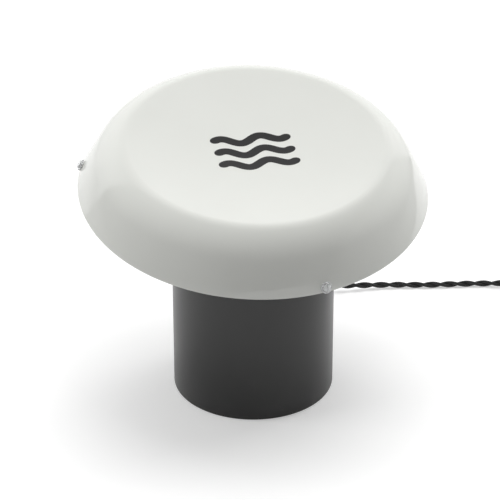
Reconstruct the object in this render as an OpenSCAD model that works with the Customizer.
// Table lamp: a white dish shade that tilts on a dark cylindrical base, with a twisted two-strand cord.
// The origin is the middle of the underside, +Z is up, and -Y is the side that the shade leans towards.

/* [Base] */
// Outer diameter of the base tube
base_d = 141; // [120:1:180]
// Height of the tube's upper edge above the table
base_h = 168; // [155:1:200]
// Wall of the base tube
base_wall = 2; // [1.5:0.1:3]
// Height of the tube's lower edge above the table
base_lift = 1; // [0.5:0.1:2]
// Bevel on the tube's two outer edges
base_bevel = 0.8; // [0.3:0.1:1.2]

/* [Foot] */
// Thickness of the felt under the lamp
felt_t = 3; // [2.6:0.1:5]
// Gap between the felt and the tube
felt_gap = 1; // [0.3:0.1:3]
// Thickness of the bottom plate
bottom_t = 2.5; // [1.5:0.1:4]
// Thickness of the top plate
top_t = 2.5; // [1.5:0.1:4]
// Depth of the top plate's upper face below the tube's edge
top_drop = 2; // [0.5:0.1:4]
// Gap between either plate and the tube
plate_gap = 0.2; // [0.1:0.05:0.5]
// Radial depth of a screw lug on the tube
lug_l = 12; // [10:0.5:16]
// Width of a screw lug
lug_w = 14; // [10:0.5:20]
// Height of a screw lug
lug_h = 10; // [8:0.5:12]
// Direction of the first of three screw lugs
lug_angle = 105; // [95:1:115]
// Diameter of the ballast
ballast_d = 88; // [80:1:90]
// Height of the ballast
ballast_h = 36; // [25:1:50]
// Bevel on the ballast's upper edge
ballast_bevel = 6; // [5:0.5:8]

/* [Cord entry] */
// Direction in which the cord leaves the base
exit_angle = 68; // [60:1:76]
// Height of the cord's axis where it leaves the base
exit_z = 14; // [13.5:0.5:18]
// Outer diameter of the twisted cord
cord_d = 6; // [5.5:0.1:6.5]
// Clearance around the cord in its bores
cord_gap = 0.2; // [0.1:0.05:0.4]
// Length of the strain relief outside the base
relief_l = 24.5; // [20:0.5:40]
// Diameter of the strain relief next to the base
relief_d = 12; // [11:0.5:14]
// Diameter of the strain relief at its tip
relief_tip_d = 8.4; // [8:0.1:10]
// Diameter of the flange on the outside of the base
flange_d = 16; // [15:0.5:18]
// Thickness of that flange
flange_t = 2; // [1.5:0.1:3]
// Diameter of the threaded shank through the wall
shank_d = 10; // [9:0.5:11]
// Length of the threaded shank inside the base
shank_l = 7; // [6:0.5:8]
// Width of the hexagonal nut inside the base, across its flats
gland_nut_w = 14; // [13:0.5:15]
// Thickness of that nut
gland_nut_t = 4; // [3:0.5:5]
// Radius of the lead's bends inside the base
lead_bend = 12; // [12:0.5:14]
// Gap between the ballast and the lead that rises beside it
lead_gap = 3; // [2:0.5:4]
// Distance of the cord clamp from the lamp's axis
clamp_x = 28; // [25:0.5:30]
// Width of the cord clamp
clamp_w = 26; // [24:1:32]
// Length of the cord clamp along the cord
clamp_l = 10; // [8:0.5:12]
// Thickness of the clamp above the cord
clamp_t = 3; // [2:0.5:5]
// Length of the terminal block
block_l = 20; // [18:1:24]
// Width of the terminal block
block_w = 18; // [16:1:24]
// Height of the terminal block
block_h = 13; // [11:0.5:18]
// Diameter of a single wire to the lamp holder
wire_d = 2.2; // [1.8:0.1:2.6]

/* [Lamp holder and bulb] */
// Diameter of the bulb's globe
bulb_d = 45; // [40:1:47]
// Length of the bulb from its top to its contact
bulb_l = 72; // [70:0.5:73]
// Wall of the bulb's glass
glass_t = 1; // [0.6:0.1:1.5]
// Diameter of the bulb's screw cap
cap_d = 13.9; // [13.5:0.1:14]
// Length of the bulb's cap with its contact
cap_l = 26; // [25:0.5:27]
// Length of the insulated contact at the end of the cap
contact_l = 3.5; // [3:0.1:5]
// Outer diameter of the holder's threaded body
holder_d = 27.6; // [26:0.2:30]
// Height of the holder's body above its floor's underside
holder_l = 43; // [40:0.5:50]
// Diameter of the holder's flange under the top plate
holder_flange_d = 36; // [32:0.5:40]
// Thickness of that flange
holder_flange_t = 3; // [2:0.5:4]
// Diameter of the ring that clamps the holder to the top plate
holder_ring_d = 40; // [36:0.5:44]
// Height of that ring
holder_ring_h = 5; // [4:0.5:6]
// Height of the holder's lower cap
holder_cap_h = 14; // [10:1:20]
// Wall of the brass shell inside the holder
shell_t = 1.2; // [0.8:0.1:1.5]

/* [Tilt hinge] */
// Height of the tilt axis above the base tube
pivot_rise = 25; // [24:0.5:30]
// Lean of the shade at rest, towards -Y
tilt_rest = 10; // [0:1:20]
// Diameter of the pivot screws
pivot_d = 6; // [5:0.5:7]
// Inner radius of the carrier's hoop
hoop_r = 31; // [30:0.5:34]
// Wall of the hoop
hoop_t = 2.5; // [2:0.1:4]
// Height of the hoop below the tilt axis
hoop_drop = 5; // [4.5:0.5:6]
// Height of a boss outside the hoop
boss_h = 1.7; // [1.2:0.1:3]
// Thickness of the friction washer between a boss and its bracket
friction_t = 1; // [0.6:0.1:2]
// Thickness of the spring washer outside a bracket
spring_t = 0.8; // [0.5:0.1:1.5]
// Running gap between the faces that turn on each other
run_gap = 0.1; // [0.05:0.05:0.3]
// Radial running clearance of the pivot screws
run_fit = 0.05; // [0.02:0.01:0.1]
// Thickness of a hinge bracket
bracket_t = 2.5; // [2:0.1:4]
// Width of a bracket's upright
bracket_w = 12; // [11:0.5:13]
// Length of a bracket's foot
foot_l = 18; // [16:0.5:19]
// Width of a bracket's foot
foot_w = 20; // [19:0.5:26]
// Diameter of a pivot screw's head
pivot_head_d = 12; // [10:0.5:13]
// Height of a pivot screw's head
pivot_head_h = 3.5; // [2.5:0.1:5]
// Width of a pivot nut across its flats
pivot_nut_w = 10; // [9:0.5:11]
// Thickness of a pivot nut
pivot_nut_t = 3.2; // [2.5:0.1:4]

/* [Shade] */
// Diameter of the shade's rim
shade_d = 300; // [280:1:340]
// Thickness of the shade
shade_t = 1.6; // [1.2:0.1:2.4]
// Lean of the shade's straight wall from the vertical
wall_lean = 28; // [24:1:32]
// Length of the straight wall up from the rim
wall_l = 30; // [26:1:34]
// Radius of the rounded shoulder above the wall
shoulder_r = 40; // [34:1:46]
// Radius of the tighter crest between the shoulder and the dish
crest_r = 17; // [14:1:24]
// Slope at which the shoulder turns into the crest
crest_slope = 24; // [18:1:30]
// Slope of the dish where it leaves the crest
dish_slope = 9; // [5:0.5:12]
// Direction of the first of three fixing screws
fix_angle = 40; // [35:1:46]
// Distance of the fixing screws from the rim, along the wall
fix_rise = 4; // [4:0.5:9]
// Height of the carrier's arms above the tilt axis
arm_z = 7; // [7:0.5:9]
// Thickness of an arm
arm_t = 2.5; // [2:0.1:4]
// Width of an arm
arm_w = 12; // [10:0.5:16]
// Thickness of the tab at the end of an arm
tab_t = 3; // [2.5:0.1:5]
// Length of that tab along the wall
tab_l = 13; // [12:0.5:15]
// Seat gap between a tab and the shade
seat_gap = 0.1; // [0.05:0.01:0.2]
// Diameter of a fixing screw's clear cap
dome_d = 10; // [9.6:0.1:11]
// Height of that cap
dome_h = 3.4; // [3:0.1:4.5]
// Thickness of the washer under the cap
dome_washer_t = 0.6; // [0.4:0.1:1]

/* [Screws] */
// Diameter of the base, plate and shade screws
screw_d = 4; // [3.5:0.1:4.2]
// Head diameter of those screws
screw_head_d = 6.8; // [6.4:0.1:7]
// Head height of those screws
screw_head_h = 2; // [1.6:0.1:2.2]
// Length of those screws under the head
screw_l = 9; // [8:0.5:11]
// Diameter of the ballast bolt
bolt_d = 6; // [5:0.5:8]
// Head diameter of the ballast bolt
bolt_head_d = 12; // [10:0.5:14]
// Length of the ballast bolt under its head
bolt_l = 22; // [15:1:24]
// Diameter of the small screws in the ballast and the switch
small_screw_d = 3; // [2.5:0.1:3.2]
// Head diameter of the small screws
small_head_d = 5; // [4.5:0.1:5.2]
// Head height of the small screws
small_head_h = 1.8; // [1.2:0.1:2.2]
// Depth of the small screws in the ballast
small_depth = 8; // [6:0.5:12]
// Radial clearance of a screw in its hole
screw_gap = 0.05; // [0.02:0.01:0.1]

/* [Switch on the cord] */
// Length of the switch
switch_l = 58; // [54:1:64]
// Width of the switch at its middle
switch_w = 26; // [25:0.5:30]
// Width of the switch at its ends
switch_end_w = 14; // [13:0.5:18]
// Height of the switch
switch_h = 17; // [16.5:0.5:19]
// Height of the joint between the switch's shells, on the cord's axis
switch_split = 7; // [6.5:0.5:7.5]
// Wall of the switch's shells
switch_wall = 1.8; // [1.4:0.1:2.2]
// Length of the rocker
rocker_l = 21; // [18:0.5:23]
// Width of the rocker
rocker_w = 11; // [9:0.5:12]
// Gap around the rocker
rocker_gap = 0.7; // [0.6:0.1:1]
// Depth of the rocker's axis under the top of the switch
rocker_depth = 2.2; // [2:0.1:2.6]
// Angle of the rocker to either side of level
rocker_tilt = 8; // [5:0.5:9]
// Diameter of the rocker's pin
pin_d = 2; // [1.6:0.1:2.2]
// Thickness of the cheeks that hold the pin
cheek_t = 2; // [1.5:0.1:2.5]

/* [Coil and plug] */
// Radius of the coil's outermost turn, on the cord's axis
coil_r = 45; // [42:1:48]
// Number of turns in the coil, half of them in each layer
coil_turns = 6; // [4:2:6]
// Distance between neighbouring turns
coil_pitch = 6.6; // [6.5:0.1:7]
// Distance between the two layers
coil_rise = 6.6; // [6.5:0.1:7]
// Height of the coil's underside above the table
coil_lift = 0.7; // [0.7:0.1:1]
// Thickness of the tie around the coil
tie_t = 0.5; // [0.4:0.1:0.6]
// Width of the tie
tie_w = 12; // [8:1:16]
// Gap between the tie and the coil
tie_gap = 0.4; // [0.2:0.1:0.8]
// Length of the plug's body
plug_l = 34; // [30:1:40]
// Width of the plug's body
plug_w = 35; // [33:0.5:37]
// Height of the plug's body
plug_h = 14; // [13:0.5:15]
// Width of the plug's body at the cord's end
plug_back_w = 18; // [16:0.5:22]
// Length of the plug's straight part next to the pins
plug_front_l = 14; // [12:0.5:18]
// Length of the plug's strain relief
plug_relief_l = 22; // [20:1:30]
// Diameter of a plug pin
plug_pin_d = 4; // [3.9:0.1:4.1]
// Length of a plug pin outside the body
plug_pin_l = 19; // [18:0.5:20]
// Distance between the plug pins
plug_pin_span = 19; // [18:0.1:19.2]
// Length of the insulating sleeve on a plug pin
sleeve_l = 10; // [9:0.5:11]
// Diameter of a plug pin inside its sleeve
sleeve_core_d = 3; // [2.6:0.1:3.2]
// Depth of a plug pin inside the body
plug_pin_root = 10; // [8:0.5:14]

/* [Hidden] */
$fn = 96;
EPS = 0.01;
THIRD = 120;
BULB_NECK_ANGLE = -50;

// Driving values that follow from the sizes above
base_r = base_d / 2;
base_in_r = base_r - base_wall;
plate_r = base_in_r - plate_gap;
bottom_z = felt_t;
pocket_gap = 0.2;
felt_pocket_z = felt_t - screw_head_h - pocket_gap;
floor_z = bottom_z + bottom_t;
ballast_z = floor_z + ballast_h;
top_z = base_h - top_drop;
pivot_z = base_h + pivot_rise;
lug_hole_r = base_in_r - lug_l / 2;
head_edge = 1;
thread_end = 0.5;
lug_angles = [for (k = [0:2]) lug_angle + THIRD * k];
fix_angles = [for (k = [0:2]) fix_angle + THIRD * k];
cord_bore_d = cord_d + 2 * cord_gap;

// Wiring inside the base, in the vertical plane of the cord's exit
lead_z = ballast_z + cord_d / 2 + cord_gap;
lead_x = ballast_d / 2 + lead_gap + cord_d / 2;
clamp_top = lead_z + cord_d / 2 + clamp_t;
clamp_screw_y = clamp_w / 2 - small_head_d / 2 - head_edge;
block_x = 12;
block_hole_d = 4;
block_mid = block_x - block_l / 2;
block_screw_x = block_l / 2 - block_hole_d;
block_screw_y = block_w / 4;
block_hole_depth = 6;
terminal_sink = 2;
wire_rise = 5.5;
wire_block_z = ballast_z + wire_rise;
wire_pair_y = 1.6;
wire_bow = 13;

// Points of a wire as shares of its bow, of the terminals' spread and of its rise
wire_shares = [
    [0, 1, 0], [0.4, 1, 0], [0.85, 1, 0.1], [1, 0.65, 0.28], [0.7, 0.5, 0.5], [0.15, 0.2, 0.76]];

// Heights of the bulb and its holder
tip_z = pivot_z + bulb_d / 2 - bulb_l;
cap_z = tip_z + cap_l;
holder_z = top_z + holder_ring_h - holder_l;
contact_room = 6;
holder_floor_z = tip_z - contact_room;
cap_fit = 0.25;
shell_fit = 0.1;
holder_bore_d = cap_d + 2 * (cap_fit + shell_t + shell_fit);
shell_d = holder_bore_d - 2 * shell_fit;
shell_lift = 2;
shell_short = 1;
holder_wire_bore_d = 9;
holder_mouth = 1.5;
holder_cap_wall = 3;
contact_leaf_t = 0.8;
contact_leaf_w = 5;
contact_reach = 5;
contact_tip_d = 5;
contact_edge = 1.5;
cap_wall = 1;

// Stack of the tilt hinge along X
hoop_out_r = hoop_r + hoop_t;
boss_x = hoop_out_r + boss_h;
friction_x = boss_x + run_gap;
bracket_x = friction_x + friction_t;
spring_x = bracket_x + bracket_t;
head_x = spring_x + spring_t + run_gap;
pivot_hole_d = pivot_d + 2 * run_fit;
foot_screw_x = bracket_x + foot_l - screw_head_d / 2 - head_edge;
foot_screw_y = foot_w / 2 - screw_head_d / 2 - head_edge;
boss_d = bracket_w - 1;
pivot_tail = hoop_r - pivot_nut_t - thread_end;

// Outline of the shade, in its own frame with the rim's plane at zero
wall_dir = [-sin(wall_lean), cos(wall_lean)];
wall_out = [cos(wall_lean), sin(wall_lean)];
function wall_point(s, inset) = [shade_d / 2, 0] + s * wall_dir - inset * wall_out;
shoulder_c = wall_point(wall_l, shoulder_r);
crest_c = shoulder_c + (shoulder_r - crest_r) * [sin(crest_slope), cos(crest_slope)];
dish_edge = crest_c + crest_r * [-sin(dish_slope), cos(dish_slope)];
dish_r = dish_edge[0] / sin(dish_slope);
dish_c = [0, dish_edge[1] + dish_r * cos(dish_slope)];
fix_point = wall_point(fix_rise, 0);
tab_rim_gap = 1;
tab_below = fix_rise - tab_rim_gap;
washer_step = 0.3;
fix_screw_l = dome_washer_t + 2 * seat_gap + shade_t + tab_t + thread_end;

// Places of the pieces on the cord, and of the coil
switch_c = [313, 94];
coil_c = [335, 20];
plug_x = coil_c[0] + coil_r;
plug_relief_y = -14;
plug_z = 7.5;
plug_y = plug_relief_y - plug_relief_l;
coil_z = coil_lift + cord_d / 2;

// Inside the switch
switch_screw_x = 16;
switch_screw_y = 7;
switch_boss_wall = 1.2;
switch_boss_d = small_head_d + 2 * switch_boss_wall;
switch_axis_z = switch_h - rocker_depth;
cheek_y = rocker_w / 2 + rocker_gap;
cheek_half = 3;
pin_stop = 0.5;
pin_play = 0.2;
rocker_end_h = 3.1;
rocker_mid_h = 4.4;
rocker_skirt = 1.6;
rocker_keel = 3;
rocker_keel_half = 4;
switch_leaf_t = 1;
switch_terminal_h = 4;
switch_terminal_x = [12, 18];
switch_terminal_y = [1, 6];
switch_leaf_x = [4, 12.5];
switch_leaf_y = [3, 5];

// Route of the cord from the strain relief to the switch
relief_tip = base_r + relief_l;
run_route = [
    [relief_tip * cos(exit_angle), relief_tip * sin(exit_angle), exit_z],
    [40, 99, 14], [46, 110.5, 13.4], [55, 120, 12.4], [67, 126.5, 11.2],
    [81, 129.5, 9.9], [96, 129.5, 8.7], [111, 128.5, 7.4], [126, 127, 6],
    [140, 126, 4.9], [155, 124.5, 4], [170, 122, 3.5], [186, 118.5, 3.2],
    [202, 115, 3.1], [218, 112, 3.1], [235, 109, 3.1], [251, 105.5, 3.2],
    [263, 101, 4.2], [274, 96.5, 6], [284, 94, 7], [291, 94, 7]];

// Route of the cord from the switch to the coil
link_route = [
    [335, 94, 7], [342, 94, 7], [352, 93, 6.5], [362, 90, 5.6], [371, 83, 4.6],
    [377, 74, 4], [380, 63, 3.7], [380, 50, 3.7], [380, 38, 3.7], [380, 26, 3.7]];

// Route of the cord from the coil to the plug
tail_route = [
    [380, 14, 10.3], [380, 8, 10.3], [380, 0, 8.9], [380, -8, 7.5], [380, -14, 7.5]];

// The coil spirals in on its lower layer and out on its upper one, climbing in the half turn between
COIL_RINGS = 24;
function coil_point(turn) =
    let (
        from_middle = turn - coil_turns / 2,
        r = coil_r - coil_pitch * (coil_turns / 2 - abs(from_middle)),
        climb = min(max(2 * from_middle + 0.5, 0), 1),
        a = -360 * turn
    )
    [coil_c[0] + r * cos(a), coil_c[1] + r * sin(a), coil_z + climb * coil_rise];
coil_start = coil_point(0) + [0, cord_d, 0];
coil_end = coil_point(coil_turns) - [0, cord_d, 0];
coil_route = concat(
    [coil_start],
    [for (i = [0:COIL_RINGS * coil_turns]) coil_point(i / COIL_RINGS)],
    [coil_end]);
coil_gap = min([
    for (i = [0:len(coil_route) - 1], j = [i + COIL_RINGS / 2:1:len(coil_route) - 1])
        norm(coil_route[i] - coil_route[j])]) - cord_d;

function length(p) = len(p) < 2 ? 0 : norm(p[1] - p[0]) + length([for (i = [1:len(p) - 1]) p[i]]);
cord_length = length(run_route) + length(link_route) + length(coil_route) + length(tail_route)
    + norm(link_route[0] - run_route[len(run_route) - 1]);

// Points along an arc from one angle to another
function arc(c, r, from, to, steps) =
    [for (i = [0:steps]) let (a = from + (to - from) * i / steps) c + r * [cos(a), sin(a)]];

// Rings of a tube swept along a route, with ref giving the direction of each ring's first point
function unit(v) = v / norm(v);
function along(p, i) =
    i == 0 ? unit(p[1] - p[0])
    : i == len(p) - 1 ? unit(p[i] - p[i - 1])
    : unit(unit(p[i + 1] - p[i]) + unit(p[i] - p[i - 1]));
function tube_ring(p, i, r, sides, ref) =
    let (
        t = along(p, i),
        a = unit(ref - (ref * t) * t),
        b = cross(t, a)
    )
    [for (j = [0:sides - 1]) p[i] + r * (cos(360 * j / sides) * a + sin(360 * j / sides) * b)];

module tube(p, d, sides, ref = [0, 0, 1]) {
    last = (len(p) - 1) * sides;
    points = [for (i = [0:len(p) - 1]) each tube_ring(p, i, d / 2, sides, ref)];
    walls = [
        for (i = [0:len(p) - 2], j = [0:sides - 1])
            let (
                a = i * sides + j,
                b = i * sides + (j + 1) % sides
            )
            each [[a, a + sides, b], [b, a + sides, b + sides]]];
    start = [for (j = [1:sides - 2]) [0, j, j + 1]];
    end = [for (j = [1:sides - 2]) [last, last + j + 1, last + j]];
    polyhedron(points, concat(walls, start, end), convexity = 10);
}

// Small shapes that several pieces share
module ring(d, bore, h) {
    difference() {
        cylinder(d = d, h = h);
        translate([0, 0, -1]) cylinder(d = bore, h = h + 2);
    }
}

module block(x, y, z) {
    translate([x[0], y[0], z[0]]) cube([x[1] - x[0], y[1] - y[0], z[1] - z[0]]);
}

module screw(d, l, head_d, head_h) {
    translate([0, 0, -l]) cylinder(d = d, h = l + EPS);
    difference() {
        cylinder(d = head_d, h = head_h);
        translate([0, 0, head_h]) cube([head_d + 1, head_d / 6, head_h], center = true);
    }
}

module hexagon(w, bore, h) {
    difference() {
        cylinder(d = w / cos(30), h = h, $fn = 6);
        translate([0, 0, -1]) cylinder(d = bore, h = h + 2);
    }
}

// Frames: the tilted shade, a side of the hinge, the fixing screws, the lugs and the cord's exit
module tilted() {
    translate([0, 0, pivot_z]) rotate([tilt_rest, 0, 0]) children();
}

module both_sides() {
    for (turn = [0, 180]) rotate([0, 0, turn]) children();
}

module along_x(x) {
    translate([x, 0, 0]) rotate([0, 90, 0]) children();
}

module at_fixings() {
    for (a = fix_angles)
        rotate([0, 0, a])
            translate([fix_point[0], 0, fix_point[1]])
                rotate([0, 90 - wall_lean, 0])
                    children();
}

module at_lugs() {
    for (a = lug_angles) rotate([0, 0, a]) translate([lug_hole_r, 0, 0]) children();
}

module at_exit() {
    rotate([0, 0, exit_angle]) children();
}

// Base and foot
module base_tube() {
    color("#3b3b3b")
        difference() {
            rotate_extrude()
                polygon([
                    [base_in_r, base_lift],
                    [base_r - base_bevel, base_lift],
                    [base_r, base_lift + base_bevel],
                    [base_r, base_h - base_bevel],
                    [base_r - base_bevel, base_h],
                    [base_in_r, base_h]]);
            at_exit()
                translate([0, 0, exit_z])
                    along_x(base_in_r - base_wall)
                        cylinder(d = shank_d + 2 * screw_gap, h = 3 * base_wall);
        }
}

module felt_pad() {
    color("#2a2a2a")
        difference() {
            cylinder(r = base_in_r - felt_gap, h = felt_t);
            translate([0, 0, felt_pocket_z]) cylinder(d = bolt_head_d + 2 * felt_gap, h = felt_t);
            at_lugs()
                translate([0, 0, felt_pocket_z]) cylinder(d = screw_head_d + 2 * felt_gap, h = felt_t);
        }
}

module drilled_plate(z, t) {
    difference() {
        translate([0, 0, z]) cylinder(r = plate_r, h = t);
        at_lugs() translate([0, 0, z - 1]) cylinder(d = screw_d + 2 * screw_gap, h = t + 2);
        children();
    }
}

module bottom_plate() {
    color("#6e6e6e")
        drilled_plate(bottom_z, bottom_t)
            translate([0, 0, bottom_z - 1]) cylinder(d = bolt_d + 2 * screw_gap, h = bottom_t + 2);
}

module lugs(z) {
    difference() {
        intersection() {
            at_lugs() block([-lug_l / 2, lug_l], [-lug_w / 2, lug_w / 2], [z, z + lug_h]);
            translate([0, 0, z]) cylinder(r = base_in_r, h = lug_h);
        }
        at_lugs() translate([0, 0, z - 1]) cylinder(d = screw_d + 2 * screw_gap, h = lug_h + 2);
    }
}

module base_lugs() {
    color("#4a4a4a") lugs(floor_z);
}

module base_screws() {
    color("#b0b0b0")
        at_lugs()
            translate([0, 0, bottom_z])
                mirror([0, 0, 1]) screw(screw_d, screw_l, screw_head_d, screw_head_h);
}

module ballast() {
    r = ballast_d / 2;
    color("#555555")
        difference() {
            rotate_extrude()
                polygon([
                    [0, floor_z], [r, floor_z], [r, ballast_z - ballast_bevel],
                    [r - ballast_bevel, ballast_z], [0, ballast_z]]);
            translate([0, 0, floor_z - 1]) cylinder(d = bolt_d + 2 * screw_gap, h = bolt_l);
            at_small_screws()
                translate([0, 0, -small_depth - 1])
                    cylinder(d = small_screw_d + 2 * screw_gap, h = small_depth + 2);
        }
}

module ballast_bolt() {
    color("#b0b0b0")
        translate([0, 0, bottom_z]) mirror([0, 0, 1]) screw(bolt_d, bolt_l, bolt_head_d, screw_head_h);
}

module top_plate() {
    color("#3b3b3b")
        drilled_plate(top_z - top_t, top_t) {
            translate([0, 0, top_z - top_t - 1])
                cylinder(d = holder_d + 2 * cord_gap, h = top_t + 2);
            both_sides()
                for (side = [-1, 1])
                    translate([foot_screw_x, side * foot_screw_y, top_z - top_t - 1])
                        cylinder(d = screw_d + 2 * screw_gap, h = top_t + 2);
        }
}

module top_lugs() {
    color("#4a4a4a") lugs(top_z - top_t - lug_h);
}

module top_screws() {
    color("#b0b0b0")
        at_lugs() translate([0, 0, top_z]) screw(screw_d, screw_l, screw_head_d, screw_head_h);
}

// Cord entry and wiring inside the base
module cord_gland() {
    color("#1c1c1c")
        difference() {
            at_exit()
                translate([0, 0, exit_z]) {
                    along_x(base_in_r - shank_l)
                        cylinder(d = shank_d, h = shank_l + base_wall + flange_t);
                    along_x(base_r + flange_t)
                        cylinder(d1 = relief_d, d2 = relief_tip_d, h = relief_l - flange_t);
                    difference() {
                        along_x(base_r - flange_t) cylinder(d = flange_d, h = 2 * flange_t);
                        translate([0, 0, -flange_d]) cylinder(r = base_r + seat_gap, h = 2 * flange_d);
                    }
                }
            at_exit()
                translate([0, 0, exit_z])
                    along_x(base_in_r - shank_l - 1)
                        cylinder(d = cord_bore_d, h = shank_l + base_wall + relief_l + 2);
        }
}

module gland_nut() {
    color("#1c1c1c")
        intersection() {
            at_exit()
                translate([0, 0, exit_z])
                    along_x(base_in_r - gland_nut_t)
                        rotate([0, 0, 30])
                            hexagon(gland_nut_w, shank_d + 2 * screw_gap, gland_nut_t);
            cylinder(r = base_in_r - seat_gap, h = base_h);
        }
}

module inner_lead() {
    low = arc([lead_x + lead_bend, exit_z + lead_bend], lead_bend, -90, -180, 4);
    high = arc([lead_x - lead_bend, lead_z - lead_bend], lead_bend, 0, 90, 4);
    plane = concat([[relief_tip, exit_z], [base_r, exit_z]], low, high,
        [[clamp_x, lead_z], [block_x, lead_z]]);
    color("#151515")
        at_exit()
            tube([for (p = plane) [p[0], 0, p[1]]], cord_d, 8, [0, 1, 0]);
}

module at_small_screws() {
    at_exit()
        translate([0, 0, ballast_z]) {
            for (side = [-1, 1]) translate([clamp_x, side * clamp_screw_y, 0]) children();
            translate([block_mid, 0, 0]) children();
        }
}

module cord_clamp() {
    color("#e4e2da")
        at_exit()
            difference() {
                block([clamp_x - clamp_l / 2, clamp_x + clamp_l / 2], [-clamp_w / 2, clamp_w / 2],
                    [ballast_z, clamp_top]);
                translate([0, 0, lead_z])
                    along_x(clamp_x - clamp_l) cylinder(d = cord_bore_d, h = 2 * clamp_l);
                block([clamp_x - clamp_l, clamp_x + clamp_l], [-cord_bore_d / 2, cord_bore_d / 2],
                    [ballast_z - 1, lead_z]);
                for (side = [-1, 1])
                    translate([clamp_x, side * clamp_screw_y, ballast_z - 1])
                        cylinder(d = small_screw_d + 2 * screw_gap, h = clamp_top);
            }
}

module clamp_screws() {
    color("#b0b0b0")
        at_exit()
            for (side = [-1, 1])
                translate([clamp_x, side * clamp_screw_y, clamp_top])
                    screw(small_screw_d, clamp_top - ballast_z + small_depth, small_head_d, small_head_h);
}

module terminal_block() {
    color("#e4e2da")
        at_exit()
            difference() {
                block([block_x - block_l, block_x], [-block_w / 2, block_w / 2],
                    [ballast_z, ballast_z + block_h]);
                translate([block_mid, 0, ballast_z - 1])
                    cylinder(d = small_screw_d + 2 * screw_gap, h = block_h + 2);
                for (x = [-1, 1], y = [-1, 1])
                    translate([block_mid + x * block_screw_x, y * block_screw_y,
                        ballast_z + block_h - block_hole_depth])
                        cylinder(d = block_hole_d, h = block_hole_depth + 1);
            }
}

module terminal_screws() {
    d = block_hole_d - 2 * screw_gap;
    color("#c8a24a")
        at_exit() {
            for (x = [-1, 1], y = [-1, 1])
                translate([block_mid + x * block_screw_x, y * block_screw_y,
                    ballast_z + block_h - terminal_sink])
                    screw(d, block_hole_depth - terminal_sink, d, small_head_h);
            translate([block_mid, 0, ballast_z + block_h])
                screw(small_screw_d, block_h + small_depth, small_head_d, small_head_h);
        }
}

module holder_wires() {
    rise = holder_z - holder_cap_h - wire_block_z;
    back = block_x - block_l;
    spread = block_screw_y - wire_pair_y;
    color("#202020")
        at_exit()
            for (side = [-1, 1])
                tube(concat(
                    [for (s = wire_shares)
                        [back - s[0] * wire_bow, side * (wire_pair_y + s[1] * spread),
                            wire_block_z + s[2] * rise]],
                    [[0, side * wire_pair_y, wire_block_z + rise], [0, side * wire_pair_y, holder_z]]),
                    wire_d, 8, [0, 1, 0]);
}

// Lamp holder and bulb
module lampholder_body() {
    color("#1c1c1c")
        difference() {
            union() {
                translate([0, 0, holder_z]) cylinder(d = holder_d, h = holder_l);
                translate([0, 0, top_z - top_t - holder_flange_t])
                    cylinder(d = holder_flange_d, h = holder_flange_t);
            }
            translate([0, 0, holder_floor_z]) cylinder(d = holder_bore_d, h = holder_l);
            translate([0, 0, top_z + holder_ring_h - holder_mouth])
                cylinder(d1 = holder_bore_d, d2 = holder_bore_d + 2 * holder_mouth, h = holder_mouth + EPS);
            for (side = [-1, 1])
                rotate([0, 0, exit_angle])
                    translate([0, side * (holder_bore_d / 2 - wire_d), holder_z - 1])
                        cylinder(d = wire_d + 2 * cord_gap, h = holder_l);
        }
}

module lampholder_ring() {
    color("#1c1c1c")
        translate([0, 0, top_z]) ring(holder_ring_d, holder_d + 2 * screw_gap, holder_ring_h);
}

module lampholder_cap() {
    neck_d = holder_wire_bore_d + 2 * holder_cap_wall;
    color("#1c1c1c")
        difference() {
            translate([0, 0, holder_z - holder_cap_h])
                cylinder(d1 = neck_d, d2 = holder_d, h = holder_cap_h);
            translate([0, 0, holder_z - holder_cap_h - 1])
                cylinder(d = holder_wire_bore_d, h = holder_cap_h + 2);
        }
}

module socket_shell() {
    color("#c8a24a")
        translate([0, 0, tip_z + shell_lift])
            ring(shell_d, shell_d - 2 * shell_t, cap_l - contact_l - shell_short);
}

module centre_contact() {
    half = contact_leaf_w / 2;
    top = tip_z - run_gap;
    color("#c8a24a") {
        block([-contact_reach, contact_reach], [-half, half],
            [holder_floor_z, holder_floor_z + contact_leaf_t]);
        block([contact_reach - contact_leaf_t, contact_reach], [-half, half], [holder_floor_z, top]);
        block([-half, contact_reach], [-half, half], [top - contact_leaf_t, top]);
    }
}

module bulb_globe() {
    r = bulb_d / 2;
    neck_r = cap_d / 2 - seat_gap;
    c = [0, pivot_z];
    outer = concat(arc(c, r, 90, BULB_NECK_ANGLE, 20), [[neck_r, cap_z]]);
    inner = concat([[neck_r - glass_t, cap_z]], arc(c, r - glass_t, BULB_NECK_ANGLE, 90, 20));
    color("#f2f0e8") rotate_extrude() polygon(concat(outer, inner));
}

module bulb_cap() {
    color("#c9c9c4")
        difference() {
            translate([0, 0, tip_z + contact_l]) cylinder(d = cap_d, h = cap_l - contact_l);
            translate([0, 0, tip_z + contact_l + cap_wall]) cylinder(d = cap_d - 2 * cap_wall, h = cap_l);
        }
}

module bulb_contact() {
    color("#3a3a3a")
        translate([0, 0, tip_z])
            cylinder(d1 = contact_tip_d, d2 = cap_d - 2 * contact_edge, h = contact_l);
}

// Tilt hinge
module hinge_brackets() {
    half = bracket_w / 2;
    color("#8a8a8a")
        both_sides()
            difference() {
                union() {
                    block([bracket_x, spring_x], [-half, half], [top_z, pivot_z]);
                    translate([0, 0, pivot_z]) along_x(bracket_x) cylinder(d = bracket_w, h = bracket_t);
                    block([bracket_x, bracket_x + foot_l], [-foot_w / 2, foot_w / 2],
                        [top_z, top_z + bracket_t]);
                }
                translate([0, 0, pivot_z])
                    along_x(bracket_x - 1) cylinder(d = pivot_hole_d, h = bracket_t + 2);
                for (side = [-1, 1])
                    translate([foot_screw_x, side * foot_screw_y, top_z - 1])
                        cylinder(d = screw_d + 2 * screw_gap, h = bracket_t + 2);
            }
}

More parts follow.
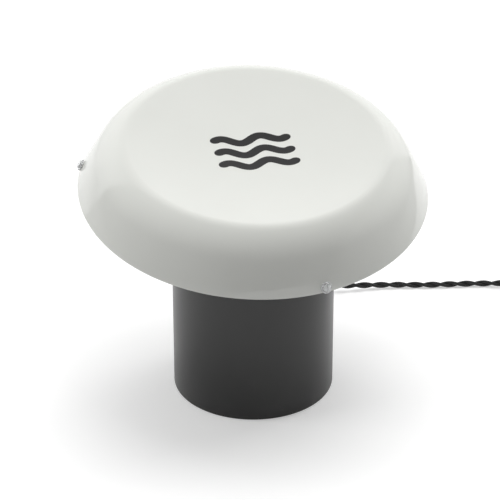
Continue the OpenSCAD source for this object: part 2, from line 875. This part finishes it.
module bracket_screws() {
    color("#b0b0b0")
        both_sides()
            for (side = [-1, 1])
                translate([foot_screw_x, side * foot_screw_y, top_z + bracket_t])
                    screw(screw_d, screw_l, screw_head_d, screw_head_h);
}

module friction_washers() {
    color("#7a5a3a")
        both_sides()
            translate([0, 0, pivot_z])
                along_x(friction_x) ring(boss_d, pivot_hole_d, friction_t);
}

module spring_washers() {
    color("#9a9a9a")
        both_sides()
            translate([0, 0, pivot_z])
                along_x(spring_x) ring(boss_d, pivot_hole_d, spring_t);
}

module pivot_screws() {
    color("#b0b0b0")
        tilted()
            both_sides()
                along_x(head_x)
                    rotate([0, 0, 90]) screw(pivot_d, head_x - pivot_tail, pivot_head_d, pivot_head_h);
}

module pivot_nuts() {
    sag = hoop_r - sqrt(pow(hoop_r, 2) - pow(pivot_nut_w / 2, 2));
    color("#b0b0b0")
        tilted()
            intersection() {
                both_sides()
                    along_x(hoop_r - pivot_nut_t)
                        hexagon(pivot_nut_w, pivot_hole_d, pivot_nut_t + sag);
                translate([0, 0, -pivot_nut_w]) cylinder(r = hoop_r - seat_gap, h = 2 * pivot_nut_w);
            }
}

// Shade and what carries it
module shade_inside() {
    low = wall_point(-tab_l, shade_t + seat_gap);
    high = wall_point(wall_l, shade_t + seat_gap);
    translate([0, 0, low[1]]) cylinder(r1 = low[0], r2 = high[0], h = high[1] - low[1]);
}

module shade_carrier() {
    color("#8a8a8a")
        tilted()
            difference() {
                union() {
                    translate([0, 0, -hoop_drop])
                        ring(2 * hoop_out_r, 2 * hoop_r, hoop_drop + arm_z + EPS);
                    both_sides()
                        along_x(hoop_r + hoop_t / 2) cylinder(d = boss_d, h = boss_h + hoop_t / 2);
                    intersection() {
                        union() {
                            for (a = fix_angles)
                                rotate([0, 0, a])
                                    block([hoop_r + hoop_t / 4, shade_d / 2], [-arm_w / 2, arm_w / 2],
                                        [arm_z, arm_z + arm_t]);
                            at_fixings()
                                block([tab_below - tab_l, tab_below], [-arm_w / 2, arm_w / 2],
                                    [-shade_t - tab_t, 0]);
                        }
                        shade_inside();
                    }
                }
                both_sides() along_x(0) cylinder(d = pivot_d + 2 * screw_gap, h = head_x);
                at_fixings()
                    translate([0, 0, -shade_t - 2 * tab_t])
                        cylinder(d = screw_d + 2 * screw_gap, h = shade_t + 2 * tab_t + 1);
            }
}

// The shade's two faces are parallel curves: straight wall, shoulder arc, crest arc and dish arc
function shade_curve(inset) = concat(
    [wall_point(shade_t / 2, inset)],
    arc(shoulder_c, shoulder_r - inset, wall_lean, 90 - crest_slope, 10),
    [for (i = [1:8])
        let (b = crest_slope - (crest_slope + dish_slope) * i / 8)
            crest_c + (crest_r - inset) * [sin(b), cos(b)]],
    [for (i = [1:12])
        let (b = dish_slope * (1 - i / 12)) dish_c + (dish_r + inset) * [sin(b), -cos(b)]]);

module shade() {
    inner = shade_curve(shade_t);
    rim = arc(wall_point(shade_t / 2, shade_t / 2), shade_t / 2, wall_lean - 30, wall_lean - 150, 4);
    color("#e8e9e4")
        tilted()
            difference() {
                rotate_extrude()
                    polygon(concat(shade_curve(0), [for (i = [len(inner) - 1:-1:0]) inner[i]],
                        [for (i = [len(rim) - 1:-1:0]) rim[i]]));
                at_fixings()
                    translate([0, 0, -2 * shade_t])
                        cylinder(d = screw_d + 2 * screw_gap, h = 3 * shade_t);
            }
}

module shade_screws() {
    color("#ecebe6")
        tilted()
            at_fixings()
                translate([0, 0, seat_gap + dome_washer_t])
                    screw(screw_d, fix_screw_l, screw_head_d, screw_head_h);
}

module shade_washers() {
    color("#f0f0ec")
        tilted()
            at_fixings()
                translate([0, 0, seat_gap])
                    ring(dome_d - 2 * washer_step, screw_d + 2 * screw_gap, dome_washer_t);
}

module screw_caps() {
    foot = seat_gap + dome_washer_t;
    dome_r = (pow(dome_d / 2, 2) + pow(dome_h, 2)) / (2 * dome_h);
    low = asin((dome_r - dome_h) / dome_r);
    well_r = screw_head_d / 2 + screw_gap;
    well_h = screw_head_h + run_gap;
    color("#dfe3e3")
        tilted()
            at_fixings()
                rotate_extrude()
                    polygon(concat(
                        [[0, foot + well_h], [well_r, foot + well_h], [well_r, foot]],
                        arc([0, foot + dome_h - dome_r], dome_r, low, 90, 12)));
}

// Cord on the table
module cord_run() {
    color("#151515") tube(run_route, cord_d, 10);
}

module cord_link() {
    color("#151515") tube(link_route, cord_d, 10);
}

module cord_coil() {
    color("#151515") tube(coil_route, cord_d, 6);
}

module cord_tail() {
    color("#151515") tube(tail_route, cord_d, 10);
}

module coil_tie() {
    r_in = coil_r - coil_pitch * coil_turns / 2 - cord_d / 2 - tie_gap;
    r_out = coil_r + cord_d / 2 + tie_gap;
    under = coil_lift - (coil_lift - tie_t) / 2;
    over = coil_z + coil_rise + cord_d / 2 + tie_gap;
    color("#2a2a2a")
        translate([coil_c[0], coil_c[1], 0])
            difference() {
                block([-r_out - tie_t, -r_in + tie_t], [-tie_w / 2, tie_w / 2],
                    [under - tie_t, over + tie_t]);
                block([-r_out, -r_in], [-tie_w, tie_w], [under, over]);
            }
}

// Switch on the cord
module switch_lens(inset, z) {
    translate([0, 0, z[0]])
        linear_extrude(z[1] - z[0])
            intersection() {
                switch_outline_half(inset, 1);
                switch_outline_half(inset, -1);
            }
}

module switch_outline_half(inset, side) {
    bulge = (switch_w - switch_end_w) / 2;
    r = (pow(switch_l / 2, 2) + pow(bulge, 2)) / (2 * bulge);
    intersection() {
        square([switch_l - 2 * inset, switch_w - 2 * inset], center = true);
        translate([0, side * (r - switch_w / 2)]) circle(r = r - inset);
    }
}

module at_switch() {
    translate([switch_c[0], switch_c[1], 0]) children();
}

module at_switch_screws() {
    for (side = [-1, 1]) translate([side * switch_screw_x, -side * switch_screw_y, 0]) children();
}

module switch_cord_bore() {
    translate([0, 0, switch_split]) along_x(-switch_l) cylinder(d = cord_bore_d, h = 2 * switch_l);
}

module switch_base() {
    color("#1c1c1c")
        at_switch()
            difference() {
                union() {
                    difference() {
                        switch_lens(0, [0, switch_split]);
                        switch_lens(switch_wall, [switch_wall, switch_split + 1]);
                    }
                    intersection() {
                        at_switch_screws() cylinder(d = switch_boss_d, h = switch_split);
                        switch_lens(EPS, [0, switch_split]);
                    }
                }
                switch_cord_bore();
                at_switch_screws() {
                    translate([0, 0, -1]) cylinder(d = small_screw_d + 2 * screw_gap, h = switch_h);
                    translate([0, 0, -1])
                        cylinder(d = small_head_d + 2 * cord_gap, h = 1 + small_head_h + cord_gap);
                }
            }
}

module switch_cover() {
    color("#1c1c1c")
        at_switch()
            difference() {
                union() {
                    difference() {
                        switch_lens(0, [switch_split, switch_h]);
                        switch_lens(switch_wall, [switch_split - 1, switch_h - switch_wall]);
                    }
                    intersection() {
                        at_switch_screws()
                            translate([0, 0, switch_split])
                                cylinder(d = small_head_d, h = switch_h - switch_split);
                        switch_lens(EPS, [switch_split, switch_h - EPS]);
                    }
                    for (side = [0, 180])
                        rotate([0, 0, side])
                            block([-cheek_half, cheek_half], [cheek_y, cheek_y + cheek_t],
                                [switch_axis_z - cheek_half, switch_h - EPS]);
                }
                block([-rocker_l / 2 - rocker_gap, rocker_l / 2 + rocker_gap], [-cheek_y, cheek_y],
                    [switch_split, switch_h + 1]);
                translate([0, 0, switch_axis_z])
                    rotate([90, 0, 0])
                        cylinder(d = pin_d + 2 * run_fit, h = 2 * (cheek_y + cheek_t - pin_stop),
                            center = true);
                switch_cord_bore();
                at_switch_screws()
                    cylinder(d = small_screw_d + 2 * screw_gap, h = switch_h - switch_wall);
            }
}

module switch_rocker() {
    half = rocker_l / 2;
    color("#2b2b2b")
        at_switch()
            translate([0, 0, switch_axis_z])
                rotate([0, rocker_tilt, 0])
                    difference() {
                        translate([0, rocker_w / 2, 0])
                            rotate([90, 0, 0])
                                linear_extrude(rocker_w)
                                    polygon([
                                        [-half, -rocker_skirt], [-half, rocker_end_h], [0, rocker_mid_h],
                                        [half, rocker_end_h], [half, -rocker_skirt],
                                        [rocker_keel_half, -rocker_keel],
                                        [-rocker_keel_half, -rocker_keel]]);
                        rotate([90, 0, 0])
                            cylinder(d = pin_d + 2 * run_fit, h = rocker_w + 2, center = true);
                    }
}

module rocker_pin() {
    l = 2 * (cheek_y + cheek_t - pin_stop - pin_play);
    color("#b0b0b0")
        at_switch()
            translate([0, 0, switch_axis_z]) rotate([90, 0, 0]) cylinder(d = pin_d, h = l, center = true);
}

module switch_contacts() {
    color("#c8a24a")
        at_switch()
            for (side = [-1, 1])
                scale([side, side, 1]) {
                    block(switch_terminal_x, switch_terminal_y,
                        [switch_wall, switch_wall + switch_terminal_h]);
                    block(switch_leaf_x, switch_leaf_y, [switch_wall, switch_wall + switch_leaf_t]);
                }
}

module switch_screws() {
    l = switch_h - switch_wall - small_head_h - cord_gap - pin_stop;
    color("#b0b0b0")
        at_switch()
            at_switch_screws()
                translate([0, 0, small_head_h + cord_gap])
                    mirror([0, 0, 1]) screw(small_screw_d, l, small_head_d, small_head_h);
}

// Plug
module at_plug() {
    translate([plug_x, plug_y, plug_z]) rotate([90, 0, 0]) children();
}

module plug_body() {
    color("#1c1c1c")
        difference() {
            translate([plug_x, plug_y - plug_l, plug_z - plug_h / 2])
                linear_extrude(plug_h)
                    polygon([
                        [-plug_w / 2, 0], [plug_w / 2, 0], [plug_w / 2, plug_front_l],
                        [plug_back_w / 2, plug_l], [-plug_back_w / 2, plug_l],
                        [-plug_w / 2, plug_front_l]]);
            for (side = [-1, 1])
                at_plug()
                    translate([side * plug_pin_span / 2, 0, plug_l - plug_pin_root])
                        cylinder(d = sleeve_core_d + 2 * screw_gap, h = plug_pin_root + 1);
        }
}

module plug_relief() {
    color("#1c1c1c")
        at_plug()
            translate([0, 0, -plug_relief_l])
                cylinder(d1 = relief_tip_d, d2 = relief_d, h = plug_relief_l);
}

module plug_pins() {
    color("#c9c9c4")
        at_plug()
            for (side = [-1, 1])
                translate([side * plug_pin_span / 2, 0, plug_l - plug_pin_root]) {
                    cylinder(d = sleeve_core_d, h = plug_pin_root + sleeve_l + EPS);
                    translate([0, 0, plug_pin_root + sleeve_l])
                        cylinder(d = plug_pin_d, h = plug_pin_l - sleeve_l);
                }
}

module pin_sleeves() {
    color("#1c1c1c")
        at_plug()
            for (side = [-1, 1])
                translate([side * plug_pin_span / 2, 0, plug_l])
                    ring(plug_pin_d, sleeve_core_d + 2 * screw_gap, sleeve_l);
}

echo(cord_length_mm = cord_length, coil_least_gap_mm = coil_gap);

base_tube();
felt_pad();
bottom_plate();
base_lugs();
base_screws();
ballast();
ballast_bolt();
top_plate();
top_lugs();
top_screws();
cord_gland();
gland_nut();
inner_lead();
cord_clamp();
clamp_screws();
terminal_block();
terminal_screws();
holder_wires();
lampholder_body();
lampholder_ring();
lampholder_cap();
socket_shell();
centre_contact();
bulb_globe();
bulb_cap();
bulb_contact();
hinge_brackets();
bracket_screws();
friction_washers();
spring_washers();
pivot_screws();
pivot_nuts();
shade_carrier();
shade();
shade_screws();
shade_washers();
screw_caps();
cord_run();
switch_base();
switch_cover();
switch_rocker();
rocker_pin();
switch_contacts();
switch_screws();
cord_link();
cord_coil();
coil_tie();
cord_tail();
plug_relief();
plug_body();
plug_pins();
pin_sleeves();
